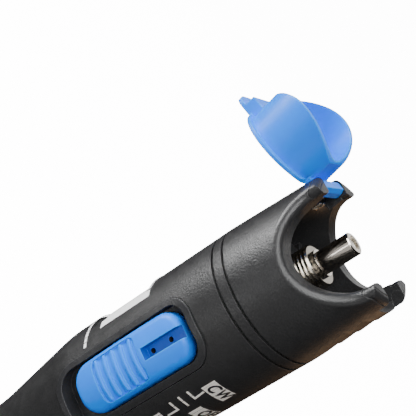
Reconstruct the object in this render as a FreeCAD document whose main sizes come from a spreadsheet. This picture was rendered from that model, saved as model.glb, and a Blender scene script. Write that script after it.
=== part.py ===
import FreeCAD, Part
import math
import os
import Sketcher

# Pen-type visual fault locator, millimetres, +Z from the tail face to the prong tips.
# The pen stands on its tail cap with the origin at the centre of the tail face.
# -Y is the switch side, -X the side of the cap's hinge, +X the side of its latch.

doc = FreeCAD.newDocument("visual_fault_locator")

SIZES = {
    # clearances
    "fit_gap": (0.1, "radial clearance between parts that plug together"),
    "overcut": (1.0, "how far a cutting tool runs past the surface"),
    "slip_gap": (0.05, "clearance of small parts in their seats"),
    "film_gap": (0.02, "glue under the sticker"),
    # front shell
    "shell_length": (19.0, "prong tips to the joint with the main housing"),
    "shoulder_step": (0.2, "how much slimmer the joint is than the barrel"),
    "shell_taper": (0.8, "how much slimmer the prong tips are than the joint"),
    "prong_wall": (3.6, "wall between the prongs' outside and the mouth"),
    "seat_wall": (2.95, "wall round the cap's seat at the prong tips"),
    "seat_depth": (1.3, "depth of the cap's seat"),
    "mouth_depth": (14.0, "prong tips to the mouth's floor"),
    "floor_thickness": (3.0, "floor that carries the connector"),
    "spigot_step": (1.95, "shoulder to the spigot that enters the main housing"),
    "spigot_length": (6.0, "length of that spigot"),
    "spigot_wall": (1.9, "wall of that spigot"),
    "scallop_radius": (8.2, "radius of the finger scallops"),
    "scallop_drop": (1.2, "scallop centre below the tips"),
    "lip_round": (1.2, "rounding of the scallops' outer lip"),
    "slot_width": (7.6, "width of the hinge slot and of the latch slot"),
    "hinge_slot_depth": (4.1, "depth of the slot for the hinge knuckle"),
    "latch_slot_depth": (2.4, "depth of the slot for the thumb tab"),
    "latch_room_depth": (3.8, "depth of the room behind that slot for the latch block"),
    "tip_round": (1.1, "rounding of the prongs' outer tips"),
    "boss_radius": (6.3, "raised ring round the connector"),
    "boss_height": (1.2, "height of that ring and of its ribs"),
    "rib_thickness": (0.8, "ribs between ring and wall"),
    "rib_count": (8, "number of those ribs"),
    "grip_count": (3, "number of grip notches on the latch side"),
    "grip_pitch": (3.9, "distance from notch to notch"),
    "grip_start": (6.0, "first notch below the tips"),
    "grip_depth": (0.6, "depth of a notch"),
    "grip_lead": (1.1, "how far a notch's step leans forward"),
    "grip_run": (3.0, "length of a notch's ramp"),
    # main housing
    "barrel_radius": (13.45, "largest radius of the housing"),
    "groove_depth": (0.55, "depth of both ring grooves"),
    "groove_width": (0.5, "width of both ring grooves"),
    "band_width": (1.75, "band between the two grooves"),
    "neck_lead": (1.6, "start of the taper to the rear end of the switch surround"),
    "neck_length": (24.0, "length of the taper"),
    "neck_round": (30.0, "rounding at the start of the taper"),
    "neck_blend": (70.0, "hollow rounding at the end of the taper"),
    "neck_skirt": (8.0, "straight end of the housing behind the taper"),
    "housing_wall": (2.85, "wall round the cavity that holds the board"),
    "cell_play": (0.45, "clearance round the cells"),
    # handle and tail
    "handle_wall": (2.5, "wall of the handle"),
    "joint_step": (1.2, "handle to the spigot that enters the housing"),
    "joint_length": (8.0, "length of that spigot"),
    "tail_length": (9.0, "visible length of the tail cap"),
    "tail_step": (1.5, "handle to the tail cap's spigot"),
    "tail_thread_length": (8.0, "length of that spigot"),
    "tail_spigot_wall": (1.2, "wall of that spigot"),
    "tail_floor": (4.5, "thickness of the tail cap's floor"),
    "tail_chamfer": (0.8, "chamfer round the tail face"),
    "flute_count": (16, "grip flutes round the tail cap"),
    "flute_radius": (0.6, "radius of a flute"),
    "ring_section": (1.4, "thickness of the sealing ring"),
    "ring_seat_depth": (0.65, "depth of its groove"),
    # cells and their contacts
    "cell_radius": (7.25, "AA cell"),
    "cell_length": (50.5, "AA cell with its nub"),
    "nub_radius": (2.7, "positive nub"),
    "nub_height": (1.0, "positive nub"),
    "spring_radius": (4.6, "coil radius of the battery spring"),
    "spring_wire": (0.45, "wire radius of that spring"),
    "spring_turns": (3, "turns of that spring"),
    "spring_length": (5.85, "length of that spring with the cells in place"),
    "disc_thickness": (1.6, "contact disc"),
    "contact_radius": (2.8, "head of the front contact"),
    "contact_stem": (1.5, "stem of the front contact"),
    "contact_head": (0.5, "thickness of the contact's heads"),
    # connector
    "collar_radius": (4.0, "M8 x 0.75 thread, crest radius"),
    "thread_pitch": (0.75, "M8 x 0.75 thread"),
    "thread_depth": (0.42, "depth of the thread"),
    "thread_turns": (6, "thread turns in front of the ring"),
    "collar_drop": (9.0, "tips to the collar's front face"),
    "collar_rim": (0.35, "chamfer of the collar's front rim"),
    "flange_radius": (6.3, "collar flange behind the floor"),
    "flange_thickness": (5.0, "collar flange behind the floor"),
    "tube_radius": (2.1, "connector tube"),
    "tube_drop": (1.8, "tips to the end of the tube"),
    "tube_ring_radius": (2.55, "ring at the foot of the tube"),
    "tube_ring_height": (0.7, "ring at the foot of the tube"),
    "tube_chamber": (1.65, "chamber that holds the sleeve"),
    "tube_mouth": (1.3, "entry for the ferrule"),
    "tube_lip": (0.6, "thickness of the tube's end wall"),
    "sleeve_radius": (1.6, "ceramic sleeve outside"),
    "ferrule_radius": (1.25, "bore for a 2.5 mm ferrule"),
    "sleeve_length": (11.4, "ceramic sleeve"),
    "sleeve_slit": (0.4, "slit along the sleeve"),
    # laser
    "laser_radius": (5.5, "brass barrel"),
    "laser_length": (11.0, "brass barrel behind the collar"),
    "nose_radius": (3.35, "nose that plugs into the collar"),
    "nose_length": (4.0, "length of the nose"),
    "diode_radius": (2.8, "flange of the diode's can"),
    "diode_flange": (1.2, "thickness of that flange"),
    "can_radius": (2.3, "diode can"),
    "can_length": (2.4, "diode can"),
    "lens_radius": (2.4, "lens"),
    "lens_thickness": (1.6, "lens at its edge"),
    "lens_rise": (0.5, "how far the lens bulges"),
    "lens_gap": (1.0, "diode can to the lens"),
    "diode_pin_radius": (0.22, "diode pins"),
    "diode_pin_length": (3.0, "diode pins"),
    "diode_pin_pitch": (1.0, "axis to a diode pin"),
    "beam_radius": (1.0, "bore for the beam"),
    # circuit board
    "board_margin": (1.45, "board's edges to the cavity wall"),
    "board_thickness": (1.6, "circuit board"),
    "chip_size": (4.0, "driver chip"),
    "chip_height": (1.4, "driver chip"),
    "chip_level": (16.4, "rear of the board to the middle of the chip"),
    "capacitor_radius": (2.4, "capacitor"),
    "capacitor_height": (5.0, "capacitor"),
    "capacitor_level": (5.4, "rear of the board to the middle of the capacitor"),
    # slide switch
    "bezel_width": (13.0, "surround of the button"),
    "bezel_length": (32.8, "surround of the button"),
    "bezel_corner": (4.6, "its corner radius"),
    "bezel_rim": (1.25, "width of its rim"),
    "bezel_proud": (0.25, "how far the rim stands proud"),
    "bezel_depth": (4.2, "depth of the surround"),
    "bezel_floor": (1.0, "thickness of its floor"),
    "bezel_lead": (2.8, "shell's spigot to the front of the surround"),
    "bezel_tail": (0.8, "contact disc to the rear of the surround"),
    "button_width": (9.5, "button"),
    "button_length": (26.6, "button"),
    "button_corner": (3.5, "its corner radius"),
    "button_front_gap": (0.7, "gap in front of the button when switched forward"),
    "button_rise": (1.3, "top of the button's crown above the barrel"),
    "crown_radius": (11.0, "crown across the button"),
    "camber_radius": (120.0, "crown along the button"),
    "button_deck": (2.2, "crown to the level above which edges are rounded"),
    "button_round": (0.9, "rounding of its top edge"),
    "switch_step": (1.4, "travel from one switch position to the next"),
    "tread_count": (5, "ribs across the button"),
    "tread_pitch": (2.2, "distance from rib to rib"),
    "tread_start": (6.0, "rear of the button to the first rib"),
    "tread_width": (0.6, "width of a rib"),
    "tread_height": (0.45, "height of a rib"),
    "panel_width": (8.2, "sunk panel that the ribs stand in"),
    "panel_margin": (1.1, "panel beyond the first and last rib"),
    "panel_depth": (0.35, "depth of that panel"),
    "notch_width": (1.8, "notch in the front of the button"),
    "notch_hole": (1.1, "rear of the notch to its first hole"),
    "notch_length": (9.4, "notch in the front of the button"),
    "notch_depth": (1.5, "notch in the front of the button"),
    "pin_hole_radius": (0.5, "two small holes in the notch"),
    "pin_hole_pitch": (4.2, "distance between those holes"),
    "lever_width": (2.0, "switch lever"),
    "lever_length": (3.0, "switch lever along the pen"),
    "switch_body_width": (7.0, "slide switch on the board"),
    "switch_body_length": (12.0, "slide switch on the board"),
    "switch_body_height": (3.4, "slide switch on the board"),
    "switch_gap": (1.3, "slide switch to the surround's underside"),
    # dust cap and hinge
    "pin_inset": (2.45, "outside of the shell to the hinge pin"),
    "hinge_drop": (1.55, "tips to the hinge pin"),
    "hinge_pin_radius": (0.5, "hinge pin"),
    "hinge_pin_length": (11.0, "hinge pin"),
    "hinge_play": (0.05, "running clearance on the hinge pin"),
    "knuckle_width": (7.0, "hinge knuckle"),
    "knuckle_back": (1.1, "hinge pin to the back of the knuckle"),
    "knuckle_low": (1.4, "hinge pin to the underside of the knuckle"),
    "knuckle_flat": (0.75, "half length of the knuckle's flats"),
    "knuckle_side": (0.52, "half height of its upright flats"),
    "arm_reach": (3.3, "hinge pin to where the arm joins the plate"),
    "open_angle": (190.75, "how far the cap opens"),
    "plate_gap": (0.4, "cap's front plate to the wall of its seat"),
    "plate_drop": (0.4, "tips to the plate's outer face when shut"),
    "plate_thickness": (0.65, "rim of the front plate"),
    "plate_dome": (0.45, "dome of the front plate"),
    "plate_relief": (2.75, "clearance of the plate from the hinge pin beside the knuckle"),
    "lobe_gap": (0.6, "side lobes to the wall of the mouth"),
    "lobe_wall": (0.75, "thickness of the side lobes"),
    "lobe_lap": (1.0, "how far a lobe laps over the scallop's rim"),
    "lobe_drop": (0.8, "tips to the centre of the lobes' curve when shut"),
    "lobe_reach": (7.8, "axis to a lobe's end at the hinge"),
    "lobe_front": (7.2, "axis to a lobe's end at the latch"),
    "latch_width": (6.6, "latch block and thumb tab"),
    "latch_inset": (2.05, "outside of the shell to the face of the latch block"),
    "latch_thickness": (3.4, "latch block"),
    "latch_play": (0.4, "latch block to the wall of its room"),
    "latch_height": (2.1, "latch block below the plate"),
    "tab_reach": (0.55, "thumb tab beyond the outside of the shell"),
    "tab_thickness": (0.8, "thumb tab"),
    "tab_corner": (2.4, "corner radius of the thumb tab"),
        "catch_wire": (0.2, "wire radius of the cap's catch spring"),
    "catch_span": (1.6, "distance between its legs"),
    "catch_drop": (3.3, "tips to the top of its legs"),
    "catch_length": (1.9, "length of its legs"),
    # label
    "label_angle": (53.0, "switch side to the near edge of the sticker's recess, degrees"),
    "label_wrap": (75.0, "how far the recess wraps round the barrel, degrees"),
    "label_start": (38.5, "tips to the recess"),
    "label_length": (14.5, "length of the recess"),
    "label_depth": (0.6, "depth of the recess"),
    "label_scoop": (1.6, "run of the recess's sloping front step"),
    "label_margin": (0.3, "sticker to the recess's ends"),
    "label_side": (2.0, "sticker to the recess's sides, degrees"),
    "label_thickness": (0.12, "sticker"),
}

sheet = doc.addObject("Spreadsheet::Sheet", "dims")
for row, (alias, (value, meaning)) in enumerate(SIZES.items(), start=1):
    sheet.set(f"A{row}", alias)
    sheet.set(f"B{row}", str(value))
    sheet.set(f"C{row}", meaning)
    sheet.setAlias(f"B{row}", alias)
doc.recompute()


class Size:
    """A length with the spreadsheet formula that it comes from."""

    def __init__(self, value, text):
        self.value = float(value)
        self.text = text

    def join(self, other, sign, value):
        return Size(value, f"({self.text} {sign} {text_of(other)})")

    def __add__(self, other):
        return self.join(other, "+", self.value + value_of(other))

    def __sub__(self, other):
        return self.join(other, "-", self.value - value_of(other))

    def __mul__(self, other):
        return self.join(other, "*", self.value * value_of(other))

    def __truediv__(self, other):
        return self.join(other, "/", self.value / value_of(other))

    def __neg__(self):
        return Size(-self.value, f"(0 - {self.text})")


class Dims:
    """Gives each named size of the spreadsheet as a Size."""

    def __getattr__(self, alias):
        return Size(SIZES[alias][0], f"dims.{alias}")


def value_of(size):
    return size.value if isinstance(size, Size) else float(size)


def text_of(size):
    return size.text if isinstance(size, Size) else repr(float(size))


def root(size):
    return Size(math.sqrt(size.value), f"sqrt({size.text})")


def cosine(size):
    return Size(math.cos(math.radians(size.value)), f"cos({size.text} * 1deg)")


def sine(size):
    return Size(math.sin(math.radians(size.value)), f"sin({size.text} * 1deg)")


D = Dims()

# radii, from the barrel and from the cells outwards
SHOULDER_RADIUS = D.barrel_radius - D.shoulder_step
TIP_RADIUS = SHOULDER_RADIUS - D.shell_taper
MOUTH_RADIUS = TIP_RADIUS - D.prong_wall
SEAT_RADIUS = TIP_RADIUS - D.seat_wall
SPIGOT_RADIUS = SHOULDER_RADIUS - D.spigot_step
BOARD_BORE = D.barrel_radius - D.housing_wall
CELL_BORE = D.cell_radius + D.cell_play
HANDLE_RADIUS = CELL_BORE + D.handle_wall
JOINT_RADIUS = HANDLE_RADIUS - D.joint_step
TAIL_RADIUS = HANDLE_RADIUS - D.tail_step

# places along the pen, from the tail cap forwards
CELL_FOOT = D.tail_floor + D.spring_length + D.slip_gap
CELL_TOP = CELL_FOOT + D.cell_length * 2 + D.slip_gap
SHOULDER = CELL_TOP + D.slip_gap + D.contact_head         # seat of the contact disc
BOARD_FOOT = SHOULDER + D.disc_thickness
BEZEL_FOOT = BOARD_FOOT + D.bezel_tail
BEZEL_TOP = BEZEL_FOOT + D.bezel_length
SPIGOT_END = BEZEL_TOP + D.bezel_lead
JOINT = SPIGOT_END + D.spigot_length                      # shell meets housing
TIP = JOINT + D.shell_length                              # prong tips
FLOOR = TIP - D.mouth_depth                               # floor of the mouth
NECK_TOP = BEZEL_FOOT + D.neck_lead
NECK_FOOT = NECK_TOP - D.neck_length
HANDLE_TOP = NECK_FOOT - D.neck_skirt                     # housing meets handle
COLLAR_FACE = TIP - D.collar_drop
FLANGE_TOP = FLOOR - D.floor_thickness
LASER_TOP = FLANGE_TOP - D.flange_thickness
LASER_FOOT = LASER_TOP - D.laser_length

# the switch, from the barrel's surface inwards
BEZEL_LOW = D.barrel_radius + D.bezel_proud - D.bezel_depth
BUTTON_CROWN = D.barrel_radius + D.button_rise
BUTTON_LOW = BEZEL_LOW + D.bezel_floor + D.fit_gap
BUTTON_TOP = BEZEL_TOP - D.bezel_rim - D.button_front_gap
BUTTON_FOOT = BUTTON_TOP - D.button_length
SWITCH_TOP = BEZEL_LOW - D.switch_gap
BOARD_FRONT = SWITCH_TOP - D.switch_body_height
BOARD_BACK = BOARD_FRONT - D.board_thickness

# the dust cap when shut
HINGE_X = D.pin_inset - TIP_RADIUS
HINGE_Z = TIP - D.hinge_drop
PLATE_RADIUS = SEAT_RADIUS - D.plate_gap
PLATE_TOP = TIP - D.plate_drop
PLATE_FOOT = PLATE_TOP - D.plate_thickness
LOBE_RADIUS = MOUTH_RADIUS - D.lobe_gap
pieces = []


def keep(obj, name):
    """Gives a finished sub-part its own label and puts it on the list to write."""
    obj.Label = name
    pieces.append((name, obj))
    return obj


def bind(obj, **sizes):
    """Ties an object's properties to the spreadsheet."""
    for prop, size in sizes.items():
        setattr(obj, prop, value_of(size))
        obj.setExpression(prop, text_of(size))
    return obj


def place(obj, x=0, y=0, z=0, axis=None, turn=0):
    """Puts an object at a bound position, turned about an axis by bound degrees."""
    for letter, size in zip("xyz", (x, y, z)):
        obj.setExpression(f"Placement.Base.{letter}", text_of(size))
    if axis is not None:
        obj.Placement = FreeCAD.Placement(
            FreeCAD.Vector(value_of(x), value_of(y), value_of(z)),
            FreeCAD.Rotation(FreeCAD.Vector(*axis), value_of(turn)))
        obj.setExpression("Placement.Rotation.Angle", text_of(turn))
    return obj


# ---- sketches ---------------------------------------------------------------

def new_body(name, final=True):
    body = doc.addObject("PartDesign::Body", name)
    return keep(body, name) if final else body


def origin_plane(body, role):
    return [part for part in body.Origin.OriginFeatures if part.Role == role][0]


def new_sketch(body, role, name, offset=None, turn=None):
    """Opens a sketch on one of the body's own planes, moved along its normal or turned
    about its upright axis."""
    sketch = body.newObject("Sketcher::SketchObject", name)
    sketch.AttachmentSupport = [(origin_plane(body, role), "")]
    sketch.MapMode = "FlatFace"
    if offset is not None:
        sketch.AttachmentOffset = FreeCAD.Placement(
            FreeCAD.Vector(0, 0, value_of(offset)), FreeCAD.Rotation())
        sketch.setExpression("AttachmentOffset.Base.z", text_of(offset))
    if turn is not None:
        sketch.AttachmentOffset = FreeCAD.Placement(
            FreeCAD.Vector(), FreeCAD.Rotation(FreeCAD.Vector(0, 1, 0), value_of(turn)))
        sketch.setExpression("AttachmentOffset.Rotation.Angle", f"({text_of(turn)}) * 1deg")
    return sketch


def pin_point(sketch, geo, end, x, y):
    """Ties one point of a sketch to bound coordinates."""
    for kind, axis_line, size in (("DistanceX", -2, x), ("DistanceY", -1, y)):
        number = value_of(size)
        if not isinstance(size, Size) and number == 0:
            sketch.addConstraint(Sketcher.Constraint("PointOnObject", geo, end, axis_line))
            continue
        if number < 0:
            rule = Sketcher.Constraint(kind, geo, end, -1, 1, -number)
            formula = f"0 - {text_of(size)}"
        else:
            rule = Sketcher.Constraint(kind, -1, 1, geo, end, number)
            formula = text_of(size)
        index = sketch.addConstraint(rule)
        if isinstance(size, Size):
            sketch.setExpression(f"Constraints[{index}]", formula)


def outline(sketch, points, arcs=None):
    """Draws a closed outline through bound points; arcs gives a bound bulge radius
    for the stretch that starts at a point, positive to bend to the left."""
    arcs = arcs or {}
    count = len(points)
    spots = [FreeCAD.Vector(value_of(x), value_of(y), 0) for x, y in points]
    ends = []
    for index in range(count):
        a, b = spots[index], spots[(index + 1) % count]
        if index in arcs:
            radius = abs(value_of(arcs[index]))
            side = 1 if value_of(arcs[index]) > 0 else -1
            chord = b - a
            half = chord.Length / 2
            normal = FreeCAD.Vector(-chord.y, chord.x, 0).normalize()
            rise = radius - math.sqrt(radius * radius - half * half)
            middle = (a + b) * 0.5 + normal * (rise * side)
            arc = Part.Arc(a, middle, b)
            geo = sketch.addGeometry(arc, False)
            drawn = sketch.Geometry[geo]
            forward = (drawn.StartPoint - a).Length < (drawn.StartPoint - b).Length
            ends.append((geo, 1, 2) if forward else (geo, 2, 1))
            bound = arcs[index] if side > 0 else -arcs[index]
            row = sketch.addConstraint(Sketcher.Constraint("Radius", geo, radius))
            sketch.setExpression(f"Constraints[{row}]", text_of(bound))
        else:
            geo = sketch.addGeometry(Part.LineSegment(a, b), False)
            ends.append((geo, 1, 2))
    for index in range(count):
        geo, _, last = ends[index]
        following, first, _ = ends[(index + 1) % count]
        sketch.addConstraint(Sketcher.Constraint("Coincident", geo, last, following, first))
    for index, (x, y) in enumerate(points):
        geo, first, _ = ends[index]
        pin_point(sketch, geo, first, x, y)
    return sketch


def circle(sketch, x, y, radius):
    spot = FreeCAD.Vector(value_of(x), value_of(y), 0)
    geo = sketch.addGeometry(Part.Circle(spot, FreeCAD.Vector(0, 0, 1), value_of(radius)), False)
    row = sketch.addConstraint(Sketcher.Constraint("Radius", geo, value_of(radius)))
    sketch.setExpression(f"Constraints[{row}]", text_of(radius))
    pin_point(sketch, geo, 3, x, y)
    return sketch


def rectangle(sketch, left, right, low, high):
    return outline(sketch, [(left, low), (right, low), (right, high), (left, high)])


def spin(body, kind, sketch, sweep=None):
    """Turns a sketch about the pen's axis, all round or through a bound sweep."""
    feature = body.newObject(f"PartDesign::{kind}", f"{sketch.Name}_{kind.lower()}")
    feature.Profile = sketch
    feature.ReferenceAxis = (sketch, ["V_Axis"])
    feature.Angle = 360.0
    if sweep is not None:
        bind(feature, Angle=sweep)
    body.Tip = feature
    doc.recompute()


def turned(name, points, arcs=None, final=True, start=None, sweep=None):
    """A turned piece: an outline of (radius, height) points spun about the pen's axis."""
    body = new_body(name, final)
    sketch = new_sketch(body, "XZ_Plane", name + "_profile", turn=start)
    spin(body, "Revolution", outline(sketch, points, arcs), sweep)
    return body


def groove(body, sketch, sweep=None):
    """Turns a groove into a body, all round or through a bound sweep."""
    before = body.Shape.Volume
    spin(body, "Groove", sketch, sweep)
    assert body.Shape.Volume < before - 1e-4, f"{sketch.Name} cuts nothing"


def pocket(body, sketch, length=None, both=False, flip=False):
    """Cuts a sketch into a body, to a bound depth or right through."""
    before = body.Shape.Volume
    cut = body.newObject("PartDesign::Pocket", sketch.Name + "_cut")
    cut.Profile = sketch
    if length is None:
        cut.Type = "ThroughAll"
    else:
        cut.Type = "Length"
        bind(cut, Length=length)
    if both:
        cut.SideType = "Symmetric"
    cut.Reversed = flip
    body.Tip = cut
    doc.recompute()
    assert body.Shape.Volume < before - 1e-4, f"{sketch.Name} cuts nothing"
    return cut


def pad(body, sketch, length, flip=False, both=False):
    """Raises a sketch from a body by a bound height."""
    rise = body.newObject("PartDesign::Pad", sketch.Name + "_pad")
    rise.Profile = sketch
    bind(rise, Length=length)
    if both:
        rise.SideType = "Symmetric"
    rise.Reversed = flip
    body.Tip = rise
    doc.recompute()
    return rise


def spread(body, feature, count):
    """Repeats a feature round the pen's axis."""
    ring = body.newObject("PartDesign::PolarPattern", feature.Name + "_ring")
    ring.Originals = [feature]
    ring.Axis = (origin_axis(body, "Z_Axis"), [""])
    ring.Angle = 360.0
    ring.Occurrences = int(value_of(count))
    ring.setExpression("Occurrences", text_of(count))
    body.Tip = ring
    doc.recompute()
    return ring


def origin_axis(body, role):
    return [part for part in body.Origin.OriginFeatures if part.Role == role][0]


def edges_where(shape, test):
    return [f"Edge{number}" for number, edge in enumerate(shape.Edges, start=1) if test(edge)]


def round_edges(body, kind, size, test):
    """Rounds or chamfers the body's edges that pass a test."""
    base = body.Tip
    names = edges_where(base.Shape, test)
    assert names, f"{body.Label} has no edge to finish"
    finish = body.newObject(f"PartDesign::{kind}", f"{body.Label}_{kind.lower()}")
    finish.Base = (base, names)
    if kind == "Fillet":
        bind(finish, Radius=size)
    else:
        bind(finish, Size=size)
    body.Tip = finish
    doc.recompute()
    return finish


# ---- solids from primitives -------------------------------------------------

def cylinder(name, radius, height):
    return bind(doc.addObject("Part::Cylinder", name), Radius=radius, Height=height)


def box(name, length, width, height):
    return bind(doc.addObject("Part::Box", name), Length=length, Width=width, Height=height)


def join(name, *parts):
    fused = doc.addObject("Part::MultiFuse", name)
    fused.Shapes = list(parts)
    fused.Refine = True
    return fused


def cut(name, base, tool):
    result = doc.addObject("Part::Cut", name)
    result.Base = base
    result.Tool = tool
    return result


def common(name, *parts):
    shared = doc.addObject("Part::MultiCommon", name)
    shared.Shapes = list(parts)
    return shared


def rounded_block(name, width, length, corner, low, high, foot):
    """An upright block with round corners, seen from the switch side: width along X,
    length along Z from foot, from y = -high to y = -low."""
    middle = box(name + "_middle", width, high - low, length - corner * 2)
    place(middle, -width / 2, -high, foot + corner)
    across = box(name + "_across", width - corner * 2, high - low, length)
    place(across, corner - width / 2, -high, foot)
    parts = [middle, across]
    for side in (-1, 1):
        for end, level in (("foot", foot + corner), ("top", foot + length - corner)):
            post = cylinder(f"{name}_{end}_{side + 1}", corner, high - low)
            place(post, (width / 2 - corner) * side, -low, level, axis=(1, 0, 0), turn=90)
            parts.append(post)
    return join(name, *parts)


# ---- the front shell: four prongs round a scalloped mouth -------------------

def make_front_shell():
    collar_hole = D.collar_radius + D.slip_gap
    spigot_bore = SPIGOT_RADIUS - D.spigot_wall
    spare = D.lip_round * 3                                # trimmed off the tips again
    slope = D.shell_taper / (D.shell_length - D.tip_round)
    body = turned("front_shell", [
        (MOUTH_RADIUS, FLOOR),
        (MOUTH_RADIUS, TIP - D.seat_depth),
        (SEAT_RADIUS, TIP - D.seat_depth),
        (SEAT_RADIUS, TIP + spare),
        (TIP_RADIUS - slope * (spare + D.tip_round), TIP + spare),
        (SHOULDER_RADIUS, JOINT),
        (SPIGOT_RADIUS, JOINT),
        (SPIGOT_RADIUS, SPIGOT_END),
        (spigot_bore, SPIGOT_END),
        (spigot_bore, FLANGE_TOP),
        (collar_hole, FLANGE_TOP),
        (collar_hole, FLOOR + D.boss_height),
        (D.boss_radius, FLOOR + D.boss_height),
        (D.boss_radius, FLOOR),
    ])
    rib_sketch = new_sketch(body, "XY_Plane", "mouth_rib", FLOOR)
    rectangle(rib_sketch, D.boss_radius - D.rib_thickness / 2, MOUTH_RADIUS + D.rib_thickness / 2,
              -D.rib_thickness / 2, D.rib_thickness / 2)
    rib = pad(body, rib_sketch, D.boss_height)
    spread(body, rib, D.rib_count)

    scallop = new_sketch(body, "XZ_Plane", "scallops")
    middle = TIP - D.scallop_drop
    outline(scallop, [
        (D.scallop_radius, middle),
        (D.scallop_radius, TIP + spare + D.overcut),
        (-D.scallop_radius, TIP + spare + D.overcut),
        (-D.scallop_radius, middle),
        (0, middle - D.scallop_radius),
    ], arcs={3: -D.scallop_radius, 4: -D.scallop_radius})
    pocket(body, scallop, both=True)
    round_lip(body, middle)

    trim = new_sketch(body, "XZ_Plane", "tip_trim")
    outline(trim, [
        (0, TIP),
        (TIP_RADIUS - D.tip_round, TIP),
        (TIP_RADIUS, TIP - D.tip_round),
        (TIP_RADIUS + D.overcut, TIP - D.tip_round),
        (TIP_RADIUS + D.overcut, TIP + spare + D.overcut),
        (0, TIP + spare + D.overcut),
    ], arcs={1: D.tip_round})
    groove(body, trim)

    half = D.slot_width / 2
    hinge_slot = new_sketch(body, "YZ_Plane", "hinge_slot")
    rectangle(hinge_slot, -half, half, TIP - D.hinge_slot_depth, TIP + D.overcut)
    pocket(body, hinge_slot)
    latch_slot = new_sketch(body, "YZ_Plane", "latch_slot")
    rectangle(latch_slot, -half, half, TIP - D.latch_slot_depth, TIP + D.overcut)
    pocket(body, latch_slot, flip=True)
    latch_room = new_sketch(body, "YZ_Plane", "latch_room")
    rectangle(latch_room, -half, half, TIP - D.latch_room_depth, TIP + D.overcut)
    pocket(body, latch_room, TIP_RADIUS - D.latch_inset + D.latch_play, flip=True)

    margin = D.grip_depth
    for number in range(int(SIZES["grip_count"][0])):
        below = D.grip_start + D.grip_pitch * number
        surface = TIP_RADIUS + slope * (below - D.tip_round)
        notch = new_sketch(body, "XZ_Plane", f"grip_notch_{number + 1}")
        outline(notch, [
            (surface - D.grip_depth, TIP - below),
            (surface + margin, TIP - below - D.grip_run * 2),
            (surface + margin, TIP - below + D.grip_lead * 2),
        ])
        pocket(body, notch, both=True)

    pin_hole = new_sketch(body, "XZ_Plane", "hinge_pin_hole")
    circle(pin_hole, HINGE_X, HINGE_Z, D.hinge_pin_radius + D.slip_gap)
    pocket(body, pin_hole, D.hinge_pin_length + D.slip_gap * 2, both=True)
    return body


def round_lip(body, middle):
    """Rounds the scallops' outer edges: an arc below the middle and straight above it."""
    radius = value_of(D.scallop_radius)
    skin = value_of(TIP_RADIUS) - value_of(D.lip_round)

    def on_lip(edge):
        stretch = edge.LastParameter - edge.FirstParameter
        spots = [edge.valueAt(edge.FirstParameter + stretch * share) for share in (0.1, 0.5, 0.9)]
        reach = [math.hypot(spot.x, min(0, spot.z - value_of(middle))) for spot in spots]
        return all(abs(size - radius) < 0.01 and math.hypot(spot.x, spot.y) > skin
                   for size, spot in zip(reach, spots))

    round_edges(body, "Fillet", D.lip_round, on_lip)


# ---- the main housing: switch section and neck ------------------------------

def make_main_housing():
    socket = SPIGOT_RADIUS + D.fit_gap
    socket_foot = SPIGOT_END - D.slip_gap
    handle_socket = JOINT_RADIUS + D.fit_gap
    handle_stop = HANDLE_TOP + D.joint_length + D.slip_gap
    groove_radius = SHOULDER_RADIUS - D.groove_depth
    first_groove = JOINT - D.groove_width
    band_foot = first_groove - D.band_width
    second_groove = band_foot - D.groove_width
    body = turned("main_housing", [
        (handle_socket, HANDLE_TOP),
        (HANDLE_RADIUS, HANDLE_TOP),
        (HANDLE_RADIUS, NECK_FOOT),
        (D.barrel_radius, NECK_TOP),
        (SHOULDER_RADIUS, second_groove),
        (groove_radius, second_groove),
        (groove_radius, band_foot),
        (SHOULDER_RADIUS, band_foot),
        (SHOULDER_RADIUS, first_groove),
        (groove_radius, first_groove),
        (groove_radius, JOINT),
        (socket, JOINT),
        (socket, socket_foot),
        (BOARD_BORE, socket_foot),
        (BOARD_BORE, SHOULDER),
        (CELL_BORE, SHOULDER),
        (CELL_BORE, handle_stop),
        (handle_socket, handle_stop),
    ])

    def at_ring(radius, level):
        return lambda edge: (abs(edge.BoundBox.ZMin - value_of(level)) < 0.01
                             and abs(edge.BoundBox.ZMax - value_of(level)) < 0.01
                             and abs(edge.BoundBox.XMax - value_of(radius)) < 0.01)

    round_edges(body, "Fillet", D.neck_round, at_ring(D.barrel_radius, NECK_TOP))
    round_edges(body, "Fillet", D.neck_blend, at_ring(HANDLE_RADIUS, NECK_FOOT))

    window = new_sketch(body, "XZ_Plane", "switch_window")
    half = D.bezel_width / 2 + D.slip_gap
    corner = D.bezel_corner + D.slip_gap
    low = BEZEL_FOOT - D.slip_gap
    high = BEZEL_TOP + D.slip_gap
    outline(window, [
        (-half + corner, low), (half - corner, low), (half, low + corner), (half, high - corner),
        (half - corner, high), (-half + corner, high), (-half, high - corner), (-half, low + corner),
    ], arcs={1: -corner, 3: -corner, 5: -corner, 7: -corner})
    pocket(body, window, flip=True)
    cut_label_recess(body)
    return body


def label_start():
    """The angle from +X at which the sticker's recess begins."""
    return Size(270, "270") - D.label_angle - D.label_wrap


def barrel_surface(level):
    """The housing's slightly tapered outside between the neck and the grooves."""
    second_groove = JOINT - D.groove_width * 2 - D.band_width
    return D.barrel_radius - (D.shoulder_step / (second_groove - NECK_TOP)) * (level - NECK_TOP)


def cut_label_recess(body):
    top = TIP - D.label_start
    foot = top - D.label_length
    recess = new_sketch(body, "XZ_Plane", "label_recess", turn=label_start())
    outline(recess, [
        (barrel_surface(foot) - D.label_depth, foot),
        (barrel_surface(foot) + D.label_depth, foot),
        (barrel_surface(top) + D.label_depth, top + D.label_scoop * 2),
        (barrel_surface(top) - D.label_depth, top),
    ])
    groove(body, recess, D.label_wrap)


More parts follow.
